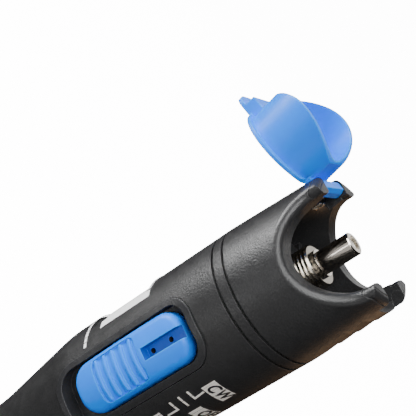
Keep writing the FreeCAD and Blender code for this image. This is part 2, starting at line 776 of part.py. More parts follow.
def make_rating_label():
    """A sticker that lines the recess, with a margin on every side."""
    top = TIP - D.label_start - D.label_margin
    foot = TIP - D.label_start - D.label_length + D.label_margin
    sink = D.label_depth - D.film_gap
    turned("rating_label", [
        (barrel_surface(foot) - sink, foot),
        (barrel_surface(foot) - sink + D.label_thickness, foot),
        (barrel_surface(top) - sink + D.label_thickness, top),
        (barrel_surface(top) - sink, top),
    ], start=label_start() + D.label_side, sweep=D.label_wrap - D.label_side * 2)


# ---- the handle and its tail cap --------------------------------------------

def make_battery_tube():
    ring_room = TAIL_RADIUS - D.ring_seat_depth + D.ring_section + D.fit_gap * 2
    socket = TAIL_RADIUS + D.fit_gap
    return turned("battery_tube", [
        (ring_room, D.tail_length),
        (HANDLE_RADIUS, D.tail_length),
        (HANDLE_RADIUS, HANDLE_TOP),
        (JOINT_RADIUS, HANDLE_TOP),
        (JOINT_RADIUS, HANDLE_TOP + D.joint_length),
        (CELL_BORE, HANDLE_TOP + D.joint_length),
        (CELL_BORE, D.tail_length + D.tail_thread_length + D.fit_gap),
        (socket, D.tail_length + D.tail_thread_length + D.fit_gap),
        (socket, D.tail_length + D.ring_section + D.fit_gap * 2),
        (ring_room, D.tail_length + D.ring_section + D.fit_gap * 2),
    ])


def make_tail_cap():
    top = D.tail_length + D.tail_thread_length
    seat = TAIL_RADIUS - D.ring_seat_depth
    seat_top = D.tail_length + D.ring_section + D.fit_gap
    body = turned("tail_cap", [
        (0, 0),
        (HANDLE_RADIUS - D.tail_chamfer, 0),
        (HANDLE_RADIUS, D.tail_chamfer),
        (HANDLE_RADIUS, D.tail_length),
        (seat, D.tail_length),
        (seat, seat_top),
        (TAIL_RADIUS, seat_top),
        (TAIL_RADIUS, top),
        (TAIL_RADIUS - D.tail_spigot_wall, top),
        (TAIL_RADIUS - D.tail_spigot_wall, D.tail_floor),
        (0, D.tail_floor),
    ])
    flute = new_sketch(body, "XY_Plane", "grip_flute", D.tail_chamfer * 2)
    circle(flute, HANDLE_RADIUS + D.flute_radius / 2, 0, D.flute_radius)
    fluting = pocket(body, flute, D.tail_length - D.tail_chamfer * 4, flip=True)
    spread(body, fluting, D.flute_count)
    return body


def make_tail_ring():
    ring = doc.addObject("Part::Torus", "tail_o_ring")
    bind(ring, Radius1=TAIL_RADIUS - D.ring_seat_depth + D.ring_section / 2 + D.slip_gap,
         Radius2=D.ring_section / 2)
    place(ring, z=D.tail_length + D.ring_section / 2 + D.slip_gap)
    return keep(ring, "tail_o_ring")


def make_battery_spring():
    foot = D.tail_floor + D.spring_wire
    height = CELL_FOOT - D.spring_wire - D.slip_gap - foot
    path = doc.addObject("Part::Helix", "spring_path")
    bind(path, Radius=D.spring_radius, Height=height, Pitch=height / D.spring_turns)
    wire = doc.addObject("Part::Circle", "spring_wire_section")
    bind(wire, Radius=D.spring_wire)
    place(wire, x=D.spring_radius, axis=(1, 0, 0), turn=90)
    spring = doc.addObject("Part::Sweep", "battery_spring")
    spring.Sections = [wire]
    spring.Spine = (path, [])
    spring.Solid = True
    spring.Frenet = True
    place(spring, z=foot)
    return keep(spring, "battery_spring")


# ---- the cells and the front contact ----------------------------------------

def make_cell(name, foot):
    top = foot + D.cell_length
    return turned(name, [
        (0, foot),
        (D.cell_radius, foot),
        (D.cell_radius, top - D.nub_height),
        (D.nub_radius, top - D.nub_height),
        (D.nub_radius, top),
        (0, top),
    ])


def make_contact_disc():
    return turned("contact_disc", [
        (D.contact_stem + D.slip_gap, SHOULDER),
        (BOARD_BORE - D.fit_gap, SHOULDER),
        (BOARD_BORE - D.fit_gap, SHOULDER + D.disc_thickness),
        (D.contact_stem + D.slip_gap, SHOULDER + D.disc_thickness),
    ])


def make_front_contact():
    low = SHOULDER - D.contact_head
    high = SHOULDER + D.disc_thickness
    return turned("front_contact", [
        (0, low),
        (D.contact_radius, low),
        (D.contact_radius, SHOULDER),
        (D.contact_stem, SHOULDER),
        (D.contact_stem, high),
        (D.contact_radius, high),
        (D.contact_radius, high + D.contact_head),
        (0, high + D.contact_head),
    ])


# ---- the connector ----------------------------------------------------------

def make_connector_collar():
    bore = D.tube_radius + D.slip_gap
    nose_bore = D.nose_radius + D.slip_gap
    rim_foot = COLLAR_FACE - D.collar_rim
    turns = int(SIZES["thread_turns"][0])
    thread = []
    for number in range(turns, 0, -1):
        crest = rim_foot - D.thread_pitch * number
        thread.append((D.collar_radius, crest))
        thread.append((D.collar_radius - D.thread_depth, crest + D.thread_pitch / 2))
    return turned("connector_collar", [
        (nose_bore, LASER_TOP),
        (D.flange_radius, LASER_TOP),
        (D.flange_radius, FLANGE_TOP),
        (D.collar_radius, FLANGE_TOP),
        *thread,
        (D.collar_radius, rim_foot),
        (D.collar_radius - D.collar_rim, COLLAR_FACE),
        (bore, COLLAR_FACE),
        (bore, LASER_TOP + D.nose_length),
        (nose_bore, LASER_TOP + D.nose_length),
    ])


def make_ferrule_tube():
    foot = LASER_TOP + D.nose_length + D.slip_gap
    end = TIP - D.tube_drop
    return turned("ferrule_tube", [
        (D.tube_mouth, foot),
        (D.tube_radius, foot),
        (D.tube_radius, COLLAR_FACE),
        (D.tube_ring_radius, COLLAR_FACE),
        (D.tube_ring_radius, COLLAR_FACE + D.tube_ring_height),
        (D.tube_radius, COLLAR_FACE + D.tube_ring_height),
        (D.tube_radius, end - D.tube_lip / 3),
        (D.tube_radius - D.tube_lip / 3, end),
        (D.tube_mouth, end),
        (D.tube_mouth, end - D.tube_lip),
        (D.tube_chamber, end - D.tube_lip),
        (D.tube_chamber, foot + D.tube_lip),
        (D.tube_mouth, foot + D.tube_lip),
    ])


def make_alignment_sleeve():
    top = TIP - D.tube_drop - D.tube_lip - D.slip_gap
    foot = top - D.sleeve_length
    body = turned("alignment_sleeve", [
        (D.ferrule_radius, foot),
        (D.sleeve_radius, foot),
        (D.sleeve_radius, top),
        (D.ferrule_radius, top),
    ])
    slit = new_sketch(body, "XY_Plane", "sleeve_slit_line", foot)
    rectangle(slit, D.ferrule_radius / 2, D.sleeve_radius * 2, -D.sleeve_slit / 2, D.sleeve_slit / 2)
    pocket(body, slit, flip=True)
    return body


# ---- the laser --------------------------------------------------------------

LENS_FOOT = LASER_FOOT + D.diode_flange + D.can_length + D.lens_gap + D.lens_rise
LENS_TOP = LENS_FOOT + D.lens_thickness


def make_laser_housing():
    chamber = D.lens_radius + D.slip_gap
    nose_top = LASER_TOP + D.nose_length
    return turned("laser_housing", [
        (D.diode_radius + D.slip_gap, LASER_FOOT),
        (D.laser_radius, LASER_FOOT),
        (D.laser_radius, LASER_TOP),
        (D.nose_radius, LASER_TOP),
        (D.nose_radius, nose_top),
        (D.beam_radius, nose_top),
        (D.beam_radius, LENS_TOP),
        (chamber, LENS_TOP),
        (chamber, LASER_FOOT + D.diode_flange),
        (D.diode_radius + D.slip_gap, LASER_FOOT + D.diode_flange),
    ])


def make_laser_diode():
    flange_top = LASER_FOOT + D.diode_flange
    body = turned("laser_diode", [
        (0, LASER_FOOT),
        (D.diode_radius, LASER_FOOT),
        (D.diode_radius, flange_top),
        (D.can_radius, flange_top),
        (D.can_radius, flange_top + D.can_length),
        (0, flange_top + D.can_length),
    ])
    pins = new_sketch(body, "XY_Plane", "diode_pins", LASER_FOOT)
    for x, y in ((D.diode_pin_pitch, 0), (-D.diode_pin_pitch, 0), (0, D.diode_pin_pitch)):
        circle(pins, x, y, D.diode_pin_radius)
    pad(body, pins, D.diode_pin_length, flip=True)
    return body


def make_lens():
    bulge = (D.lens_radius * D.lens_radius + D.lens_rise * D.lens_rise) / (D.lens_rise * 2)
    return turned("collimating_lens", [
        (0, LENS_FOOT - D.lens_rise),
        (D.lens_radius, LENS_FOOT),
        (D.lens_radius, LENS_TOP),
        (0, LENS_TOP),
    ], arcs={0: -bulge})


# ---- the circuit board and its parts ----------------------------------------

BUTTON_MIDDLE = (BUTTON_TOP + BUTTON_FOOT) / 2
TRAVEL = D.switch_step * 2
LEVER_FOOT = BUTTON_MIDDLE - D.lever_length / 2
LEVER_DEPTH = D.switch_body_height / 2


def make_board():
    half_width = root(BOARD_BORE * BOARD_BORE - BOARD_FRONT * BOARD_FRONT) - D.board_margin
    board = box("circuit_board", half_width * 2, D.board_thickness, LASER_FOOT - BOARD_FOOT)
    place(board, -half_width, -BOARD_FRONT, BOARD_FOOT)
    return keep(board, "circuit_board")


def make_driver_chip():
    chip = box("driver_chip", D.chip_size, D.chip_height, D.chip_size)
    place(chip, -D.chip_size / 2, -BOARD_BACK, BOARD_FOOT + D.chip_level - D.chip_size / 2)
    return keep(chip, "driver_chip")


def make_capacitor():
    can = cylinder("board_capacitor", D.capacitor_radius, D.capacitor_height)
    place(can, 0, D.capacitor_height - BOARD_BACK, BOARD_FOOT + D.capacitor_level,
          axis=(1, 0, 0), turn=90)
    return keep(can, "board_capacitor")


def lever_slot(name, low, high):
    """Room for the lever over its whole travel, between two distances from the axis."""
    width = D.lever_width + D.fit_gap * 2
    slot = box(name, width, high - low, D.lever_length + TRAVEL + D.fit_gap * 2)
    place(slot, -width / 2, -high, LEVER_FOOT - TRAVEL - D.fit_gap)
    return slot


def make_slide_switch():
    case = box("switch_case", D.switch_body_width, D.switch_body_height, D.switch_body_length)
    place(case, -D.switch_body_width / 2, -SWITCH_TOP,
          LEVER_FOOT + (D.lever_length - TRAVEL) / 2 - D.switch_body_length / 2)
    slot = lever_slot("switch_case_slot", SWITCH_TOP - LEVER_DEPTH - D.fit_gap, SWITCH_TOP)
    return keep(cut("slide_switch_body", case, slot), "slide_switch_body")


def make_switch_lever():
    length = BUTTON_LOW - SWITCH_TOP + LEVER_DEPTH
    lever = box("switch_lever", D.lever_width, length, D.lever_length)
    place(lever, -D.lever_width / 2, -BUTTON_LOW, LEVER_FOOT)
    return keep(lever, "switch_lever")


def make_bezel():
    blank = rounded_block("bezel_blank", D.bezel_width, D.bezel_length, D.bezel_corner,
                          BEZEL_LOW, D.barrel_radius + D.bezel_depth, BEZEL_FOOT)
    skin = cylinder("bezel_skin", D.barrel_radius + D.bezel_proud, D.bezel_length)
    place(skin, z=BEZEL_FOOT)
    opening = rounded_block("bezel_opening", D.bezel_width - D.bezel_rim * 2,
                            D.bezel_length - D.bezel_rim * 2, D.bezel_corner - D.bezel_rim,
                            BEZEL_LOW + D.bezel_floor, D.barrel_radius + D.bezel_depth * 2,
                            BEZEL_FOOT + D.bezel_rim)
    slot = lever_slot("bezel_slot", BEZEL_LOW - D.bezel_floor, BEZEL_LOW + D.bezel_floor * 2)
    shell = common("bezel_shell", blank, skin)
    return keep(cut("switch_bezel", shell, join("bezel_cuts", opening, slot)), "switch_bezel")


def crown(name, radius):
    """A cylinder along the pen whose side is the button's crown."""
    body = cylinder(name, radius, D.button_length)
    return place(body, y=D.crown_radius - BUTTON_CROWN, z=BUTTON_FOOT)


def make_button():
    blank = rounded_block("button_blank", D.button_width, D.button_length, D.button_corner,
                          BUTTON_LOW, BUTTON_CROWN + D.overcut, BUTTON_FOOT)
    camber = cylinder("button_camber", D.camber_radius, D.button_width)
    place(camber, -D.button_width / 2, D.camber_radius - BUTTON_CROWN, BUTTON_MIDDLE,
          axis=(0, 1, 0), turn=90)
    raw = common("button_raw", blank, crown("button_crown", D.crown_radius), camber)
    doc.recompute()

    deck = value_of(BUTTON_CROWN - D.button_deck)
    smooth = doc.addObject("Part::Fillet", "button_smooth")
    smooth.Base = raw
    rims = [int(name[4:]) for name in edges_where(raw.Shape, lambda edge: edge.BoundBox.YMax < -deck)]
    smooth.Edges = [(rim, SIZES["button_round"][0], SIZES["button_round"][0]) for rim in rims]

    tread_span = D.tread_pitch * (SIZES["tread_count"][0] - 1)
    panel = box("tread_panel", D.panel_width, BUTTON_CROWN, tread_span + D.panel_margin * 2)
    place(panel, -D.panel_width / 2, -BUTTON_CROWN - D.overcut, BUTTON_FOOT + D.tread_start - D.panel_margin)
    sunk = cut("tread_panel_cut", panel, crown("panel_floor", D.crown_radius - D.panel_depth))
    bars = []
    for number in range(int(SIZES["tread_count"][0])):
        bar = box(f"tread_{number + 1}", D.panel_width, BUTTON_CROWN - BUTTON_LOW - D.overcut, D.tread_width)
        place(bar, -D.panel_width / 2, -BUTTON_CROWN,
              BUTTON_FOOT + D.tread_start + D.tread_pitch * number - D.tread_width / 2)
        bars.append(bar)
    tread_skin = crown("tread_skin", D.crown_radius - D.panel_depth + D.tread_height)
    treads = common("treads", join("tread_bars", *bars), tread_skin)

    notch = box("button_notch", D.notch_width, D.notch_depth + D.overcut, D.notch_length + D.overcut)
    place(notch, -D.notch_width / 2, -BUTTON_CROWN - D.overcut, BUTTON_TOP - D.notch_length)
    holes = []
    for number in range(2):
        hole = cylinder(f"notch_hole_{number + 1}", D.pin_hole_radius, D.notch_depth * 2)
        place(hole, 0, D.notch_depth * 2 - BUTTON_CROWN,
              BUTTON_TOP - D.notch_length + D.notch_hole + D.pin_hole_pitch * number,
              axis=(1, 0, 0), turn=90)
        holes.append(hole)
    hollowed = cut("button_hollowed", smooth, join("button_cuts", sunk, notch, *holes))
    return keep(join("slide_button", hollowed, treads), "slide_button")


# ---- the dust cap, drawn shut and then swung open ---------------------------

def make_cap_plate():
    dome = (PLATE_RADIUS * PLATE_RADIUS + D.plate_dome * D.plate_dome) / (D.plate_dome * 2)
    return turned("cap_plate", [
        (0, PLATE_FOOT),
        (PLATE_RADIUS, PLATE_FOOT),
        (PLATE_RADIUS, PLATE_TOP),
        (0, PLATE_TOP + D.plate_dome),
    ], arcs={2: -dome}, final=False)


def make_cap_lobes():
    curve_middle = TIP - D.lobe_drop
    lobe_curve = D.scallop_radius + D.lobe_lap
    foot = curve_middle - lobe_curve
    height = PLATE_FOOT + D.plate_thickness / 2 - foot
    outer = place(cylinder("lobe_outer", LOBE_RADIUS, height), z=foot)
    inner = place(cylinder("lobe_inner", LOBE_RADIUS - D.lobe_wall, height), z=foot)
    curve = cylinder("lobe_curve", lobe_curve, LOBE_RADIUS * 2)
    place(curve, 0, LOBE_RADIUS, curve_middle, axis=(1, 0, 0), turn=90)
    bound = box("lobe_bound", D.lobe_reach + D.lobe_front, LOBE_RADIUS * 2, height)
    place(bound, -D.lobe_reach, -LOBE_RADIUS, foot)
    return common("cap_lobes", cut("lobe_ring", outer, inner), curve, bound)


def make_knuckle():
    body = new_body("cap_knuckle", final=False)
    side = new_sketch(body, "XZ_Plane", "knuckle_side")
    outline(side, [
        (HINGE_X - D.knuckle_back, HINGE_Z - D.knuckle_side),
        (HINGE_X - D.knuckle_flat, HINGE_Z - D.knuckle_low),
        (HINGE_X + D.knuckle_flat, HINGE_Z - D.knuckle_low),
        (HINGE_X + D.arm_reach, PLATE_FOOT + D.plate_thickness / 4),
        (HINGE_X + D.arm_reach, PLATE_TOP),
        (HINGE_X - D.knuckle_side, PLATE_TOP),
        (HINGE_X - D.knuckle_back, HINGE_Z + D.knuckle_side),
    ])
    pad(body, side, D.knuckle_width, both=True)
    return body


def make_latch():
    latch_front = TIP_RADIUS - D.latch_inset
    tab_end = TIP_RADIUS + D.tab_reach
    block = box("latch_block", D.latch_thickness, D.latch_width, D.latch_height + D.plate_thickness)
    place(block, latch_front - D.latch_thickness, -D.latch_width / 2, PLATE_FOOT - D.latch_height)
    root_x = latch_front - D.latch_thickness
    foot = PLATE_TOP - D.tab_thickness
    wide = box("tab_wide", tab_end - D.tab_corner - root_x, D.latch_width, D.tab_thickness)
    place(wide, root_x, -D.latch_width / 2, foot)
    long = box("tab_long", tab_end - root_x, D.latch_width - D.tab_corner * 2, D.tab_thickness)
    place(long, root_x, D.tab_corner - D.latch_width / 2, foot)
    parts = [block, wide, long]
    for side in (-1, 1):
        corner = cylinder(f"tab_corner_{side + 1}", D.tab_corner, D.tab_thickness)
        place(corner, tab_end - D.tab_corner, (D.latch_width / 2 - D.tab_corner) * side, foot)
        parts.append(corner)
    return parts


def make_dust_cap():
    solid = join("cap_solid", make_cap_plate(), make_cap_lobes(), make_knuckle(), *make_latch())
    bore = cylinder("knuckle_bore", D.hinge_pin_radius + D.hinge_play, D.knuckle_width + D.overcut)
    place(bore, HINGE_X, (D.knuckle_width + D.overcut) / 2, HINGE_Z, axis=(1, 0, 0), turn=90)
    tools = [bore]
    for side in (-1, 1):
        relief = cylinder(f"cap_relief_{side + 1}", D.plate_relief, PLATE_RADIUS)
        start = D.knuckle_width / 2 + PLATE_RADIUS if side > 0 else -D.knuckle_width / 2
        place(relief, HINGE_X, start, HINGE_Z, axis=(1, 0, 0), turn=90)
        tools.append(relief)
    cap = cut("dust_cap", solid, join("cap_cuts", *tools))
    turn = Size(360, "360") - D.open_angle
    place(cap, HINGE_X - HINGE_X * cosine(turn) - HINGE_Z * sine(turn), 0,
          HINGE_Z + HINGE_X * sine(turn) - HINGE_Z * cosine(turn), axis=(0, 1, 0), turn=turn)
    return keep(cap, "dust_cap")


def make_hinge_pin():
    pin = cylinder("hinge_pin", D.hinge_pin_radius, D.hinge_pin_length)
    place(pin, HINGE_X, D.hinge_pin_length / 2, HINGE_Z, axis=(1, 0, 0), turn=90)
    return keep(pin, "hinge_pin")


def make_cap_spring():
    half = D.catch_span / 2
    outer = half + D.catch_wire
    x = D.catch_wire + D.slip_gap - root(MOUTH_RADIUS * MOUTH_RADIUS - outer * outer)
    foot = TIP - D.catch_drop - D.catch_length
    bar = cylinder("catch_bar", D.catch_wire, D.catch_span)
    place(bar, x, half, foot, axis=(1, 0, 0), turn=90)
    parts = [bar]
    for side in (-1, 1):
        leg = cylinder(f"catch_leg_{side + 1}", D.catch_wire, D.catch_length)
        place(leg, x, half * side, foot)
        bend = bind(doc.addObject("Part::Sphere", f"catch_bend_{side + 1}"), Radius=D.catch_wire)
        place(bend, x, half * side, foot)
        parts += [leg, bend]
    return keep(join("cap_spring", *parts), "cap_spring")


make_front_shell()
make_main_housing()
make_rating_label()
make_battery_tube()
make_tail_cap()
make_tail_ring()
make_battery_spring()
make_cell("battery_rear", CELL_FOOT)
make_cell("battery_front", CELL_FOOT + D.cell_length + D.slip_gap)
make_contact_disc()
make_front_contact()
make_connector_collar()
make_ferrule_tube()
make_alignment_sleeve()
make_laser_housing()
make_laser_diode()
make_lens()
make_board()
make_driver_chip()
make_capacitor()
make_slide_switch()
make_switch_lever()
make_bezel()
make_button()
make_dust_cap()
make_hinge_pin()
make_cap_spring()

doc.recompute()
for item in doc.Objects:
    assert "Invalid" not in item.State and "Error" not in item.State, f"{item.Label} failed: {item.State}"

os.makedirs("parts", exist_ok=True)
for name, piece in pieces:
    shape = piece.Shape
    assert not shape.isNull() and shape.isValid(), f"{name} has no valid shape"
    assert shape.Volume > 0 and shape.Solids, f"{name} has no solid"
    shape.exportStep(f"parts/{name}.step")
    print(f"{name:20s} solids {len(shape.Solids)} volume {shape.Volume:10.2f}")
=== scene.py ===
import math

import bmesh
import bpy
from mathutils import Matrix, Quaternion, Vector


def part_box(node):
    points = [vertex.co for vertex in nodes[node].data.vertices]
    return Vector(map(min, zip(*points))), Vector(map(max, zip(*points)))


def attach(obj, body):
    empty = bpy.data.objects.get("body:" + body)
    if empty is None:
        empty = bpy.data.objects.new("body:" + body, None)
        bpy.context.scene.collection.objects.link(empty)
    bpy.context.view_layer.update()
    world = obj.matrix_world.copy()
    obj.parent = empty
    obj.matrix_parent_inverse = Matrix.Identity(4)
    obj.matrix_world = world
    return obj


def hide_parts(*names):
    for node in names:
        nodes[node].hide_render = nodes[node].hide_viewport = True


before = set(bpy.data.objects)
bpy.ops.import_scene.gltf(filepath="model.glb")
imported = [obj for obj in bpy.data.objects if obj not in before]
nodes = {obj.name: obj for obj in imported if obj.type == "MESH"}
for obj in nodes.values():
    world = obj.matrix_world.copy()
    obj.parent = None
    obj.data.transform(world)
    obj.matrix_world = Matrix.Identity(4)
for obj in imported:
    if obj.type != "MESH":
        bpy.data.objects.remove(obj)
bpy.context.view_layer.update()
scene = bpy.context.scene
mm = 0.001


# ---- The table and the room -------------------------------------------------
# The pen stands on its tail cap on a white table in a white room. The table and
# the room are only a backdrop: all the light comes from the lamps below.

def as_piece(name, shaping):
    """Turns a bmesh into an object of the scene."""
    mesh = bpy.data.meshes.new(name)
    shaping.to_mesh(mesh)
    shaping.free()
    piece = bpy.data.objects.new(name, mesh)
    scene.collection.objects.link(piece)
    return piece


table_half, backdrop_glow = 3.0, 14.0
table_shape = bmesh.new()
bmesh.ops.create_grid(table_shape, x_segments=2, y_segments=2, size=table_half)
table = as_piece("table_top", table_shape)
table.visible_glossy = False
table.visible_diffuse = False

white = bpy.data.materials.new("white_table")
white.use_nodes = True
white_shader = white.node_tree.nodes["Principled BSDF"]
white_shader.inputs["Base Color"].default_value = (0.9, 0.9, 0.9, 1)
white_shader.inputs["Roughness"].default_value = 0.8
white_shader.inputs["Emission Color"].default_value = (1, 1, 1, 1)
white_shader.inputs["Emission Strength"].default_value = backdrop_glow
table.data.materials.append(white)

room = bpy.data.worlds.new("white_room")
room.use_nodes = True
room.node_tree.nodes["Background"].inputs["Color"].default_value = (1, 1, 1, 1)
room.node_tree.nodes["Background"].inputs["Strength"].default_value = backdrop_glow
scene.world = room
room.cycles_visibility.diffuse = False
room.cycles_visibility.glossy = False
room.cycles_visibility.transmission = False


# ---- The lamps --------------------------------------------------------------
# Tall soft boxes stand round the pen's head, each turned to it. Angles are taken
# round the pen from the switch side, positive towards the latch side.

pen_head = Vector((0, 0, 0.145))


def soft_box(name, around, height, distance, width, tall, power, colour=(1, 1, 1)):
    """An oblong lamp that shines on the pen's head and stays out of view."""
    turn = math.radians(around)
    spot = Vector((math.sin(turn) * distance, -math.cos(turn) * distance, height))
    lamp = bpy.data.objects.new(name, bpy.data.lights.new(name, "AREA"))
    lamp.data.shape = "RECTANGLE"
    lamp.data.size = width
    lamp.data.size_y = tall
    lamp.data.energy = power
    lamp.data.color = colour
    lamp.location = spot
    lamp.rotation_mode = "QUATERNION"
    lamp.rotation_quaternion = (pen_head - spot).to_track_quat("-Z", "Y")
    lamp.visible_camera = False
    scene.collection.objects.link(lamp)


soft_box("side_box", -70, 0.13, 0.40, 0.16, 0.26, 2.9)
soft_box("front_box", 5, 0.52, 0.34, 0.26, 0.26, 2.6)
soft_box("fill_box", 60, 0.24, 0.45, 0.30, 0.30, 0.35)
soft_box("low_card", 10, 0.06, 0.20, 0.34, 0.10, 0.07)
soft_box("streak_card", -4, 0.07, 0.19, 0.022, 0.08, 0.03)
soft_box("top_box", -60, 0.50, 0.16, 0.22, 0.22, 1.3)
soft_box("warm_rim_box", 140, 0.12, 0.45, 0.12, 0.26, 0.3, (1.0, 0.62, 0.36))
soft_box("back_box", -160, 0.26, 0.50, 0.50, 0.40, 0.8)


# ---- The camera -------------------------------------------------------------
# It looks down on the head of the pen from the switch side, with a slight roll
# that lays the pen from the lower left to the upper right.

camera_turn, camera_rise = math.radians(19.094), math.radians(25.376)
camera_roll = math.radians(54.739)
towards_pen = -Vector((math.sin(camera_turn) * math.cos(camera_rise),
                       -math.cos(camera_turn) * math.cos(camera_rise),
                       math.sin(camera_rise)))
camera = bpy.data.objects.new("camera", bpy.data.cameras.new("camera"))
camera.data.lens = 73.99
camera.data.clip_start = 0.01
camera.location = (0.02624, -0.13257, 0.21861)
camera.rotation_mode = "QUATERNION"
camera.rotation_quaternion = (towards_pen.to_track_quat("-Z", "Y")
                              @ Quaternion((0, 0, 1), camera_roll))
scene.collection.objects.link(camera)
scene.camera = camera


# ---- The front shell --------------------------------------------------------
# A black moulded shell with four prongs round a scalloped mouth. It is ABS with
# a fine spark-eroded grain, a little polished where fingers rub its edges; those
# edges are painted lighter, partly as rubbing wear and partly as a painted highlight.

def new_finish(name, rough, metal=0.0):
    """A material with an empty shader, and its node tree."""
    finish = bpy.data.materials.new(name)
    finish.use_nodes = True
    tree = finish.node_tree
    shader = tree.nodes["Principled BSDF"]
    shader.inputs["Roughness"].default_value = rough
    shader.inputs["Metallic"].default_value = metal
    return finish, tree, shader


def stretched_place(tree, stretch=(1, 1, 1)):
    """The piece's own coordinates, stretched."""
    place = tree.nodes.new("ShaderNodeTexCoord")
    mapping = tree.nodes.new("ShaderNodeMapping")
    mapping.inputs["Scale"].default_value = stretch
    tree.links.new(place.outputs["Object"], mapping.inputs["Vector"])
    return mapping.outputs["Vector"]


def cloud(tree, size, detail=3.0, stretch=(1, 1, 1)):
    """A soft random pattern whose blots are about size across."""
    noise = tree.nodes.new("ShaderNodeTexNoise")
    noise.inputs["Scale"].default_value = 1 / size
    noise.inputs["Detail"].default_value = detail
    tree.links.new(stretched_place(tree, stretch), noise.inputs["Vector"])
    return noise.outputs["Fac"]


def ranged(tree, value, low, high, start=0.3, end=0.7):
    """Maps a pattern between start and end to the range low to high."""
    change = tree.nodes.new("ShaderNodeMapRange")
    change.inputs["From Min"].default_value = start
    change.inputs["From Max"].default_value = end
    change.inputs["To Min"].default_value = low
    change.inputs["To Max"].default_value = high
    tree.links.new(value, change.inputs["Value"])
    return change.outputs["Result"]


def blended(tree, share, first, second):
    """Mixes two colours, each given as numbers or as a socket."""
    mix = tree.nodes.new("ShaderNodeMix")
    mix.data_type = "RGBA"
    sockets = {socket.identifier: socket for socket in mix.inputs}
    for key, colour in (("A_Color", first), ("B_Color", second)):
        if isinstance(colour, tuple):
            sockets[key].default_value = (*colour, 1)
        else:
            tree.links.new(colour, sockets[key])
    tree.links.new(share, sockets["Factor_Float"])
    return next(socket for socket in mix.outputs if socket.identifier == "Result_Color")


def rounded_normal(tree, radius):
    """A normal that eases sharp edges over a small radius."""
    bevel = tree.nodes.new("ShaderNodeBevel")
    bevel.samples = 6
    bevel.inputs["Radius"].default_value = radius
    return bevel.outputs["Normal"]


def edge_share(tree, radius, strength):
    """A mask of the edges: where the eased normal leaves the surface's own."""
    surface = tree.nodes.new("ShaderNodeNewGeometry")
    dot = tree.nodes.new("ShaderNodeVectorMath")
    dot.operation = "DOT_PRODUCT"
    tree.links.new(surface.outputs["Normal"], dot.inputs[0])
    tree.links.new(rounded_normal(tree, radius), dot.inputs[1])
    return ranged(tree, dot.outputs["Value"], strength, 0.0, 0.86, 0.995)


def bumped(tree, shader, height, depth, strength, radius):
    """Gives the shader a bump of the given depth over eased edges."""
    bump = tree.nodes.new("ShaderNodeBump")
    bump.inputs["Strength"].default_value = strength
    bump.inputs["Distance"].default_value = depth
    tree.links.new(height, bump.inputs["Height"])
    tree.links.new(rounded_normal(tree, radius), bump.inputs["Normal"])
    tree.links.new(bump.outputs["Normal"], shader.inputs["Normal"])


def moulded(name, colour, lighter, rough, grain=0.34 * mm, depth=0.10 * mm,
            ease=0.12 * mm, wear_and_sheen=0.5):
    """A moulded plastic: faint flow marks, a fine grain, and edges painted lighter, partly as
    rubbing wear and partly as a painted highlight.
    """
    finish, tree, shader = new_finish(name, rough)
    flow_size, polish_size = 9 * mm, 1.6 * mm
    flow = ranged(tree, cloud(tree, flow_size), 0.0, 0.55)
    # The edges are painted lighter: partly rubbing wear, partly a painted highlight along them.
    edge_wear_and_highlight = edge_share(tree, ease * 2, wear_and_sheen)
    body_colour = blended(tree, flow, colour, lighter)
    rubbed_and_highlight = tuple(min(1.0, part * 1.7 + 0.008) for part in lighter)
    tree.links.new(blended(tree, edge_wear_and_highlight, body_colour, rubbed_and_highlight), shader.inputs["Base Color"])
    polish = ranged(tree, cloud(tree, polish_size), rough - 0.05, rough + 0.06)
    tree.links.new(polish, shader.inputs["Roughness"])
    bumped(tree, shader, cloud(tree, grain, 2.0), depth, 0.6, ease)
    return finish


def dress(node_name, finish):
    """Gives a node of the frame its finish."""
    for slot in nodes[node_name].material_slots:
        slot.material = finish
    if not nodes[node_name].material_slots:
        nodes[node_name].data.materials.append(finish)


shell_black = moulded("shell_black", (0.017, 0.0172, 0.0178), (0.024, 0.0243, 0.025), 0.40)
dress("front_shell", shell_black)


# ---- The prong ends ---------------------------------------------------------
# The rounded outer corners of the four prongs, moulded in one with the shell. They
# are added here because its solid is hollowed out there: each is a round bead swept
# about the axis and trimmed at its slot and at the scallop's rounded lip.

def all_of(shape):
    """Everything in a bmesh."""
    return shape.verts[:] + shape.edges[:] + shape.faces[:]


def join_shape(whole, part):
    """Adds one bmesh to another, and frees it."""
    carrier = bpy.data.meshes.new("joined")
    part.to_mesh(carrier)
    part.free()
    whole.from_mesh(carrier)
    bpy.data.meshes.remove(carrier)


def shade_smooth(shape, limit=math.radians(30)):
    """Smooth faces, with the edges sharper than the limit left crisp."""
    for face in shape.faces:
        face.smooth = True
    for edge in shape.edges:
        edge.smooth = len(edge.link_faces) == 2 and edge.calc_face_angle() < limit


tip_height, tip_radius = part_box("front_shell")[1][2], 12.45 * mm
corner_round, lip_round = 1.1 * mm, 1.2 * mm
corner_start, corner_sweep, corner_steps = math.radians(14), math.radians(40), 30
lip_sweep, lip_cuts = 147, 15
wall_reach, slot_half = 8.2 * mm, 3.8 * mm
lip_reach = wall_reach + lip_round
lip_middle = Vector((lip_reach, math.sqrt((tip_radius - lip_round) ** 2 - lip_reach ** 2), 0))

prong_cuts = [(Vector((0, slot_half, 0)), Vector((0, -1, 0)))]
for number in range(lip_cuts):
    turn = math.radians(180 - lip_sweep * number / (lip_cuts - 1))
    facing = Vector((math.cos(turn), math.sin(turn), 0))
    prong_cuts.append((lip_middle + facing * lip_round, facing))

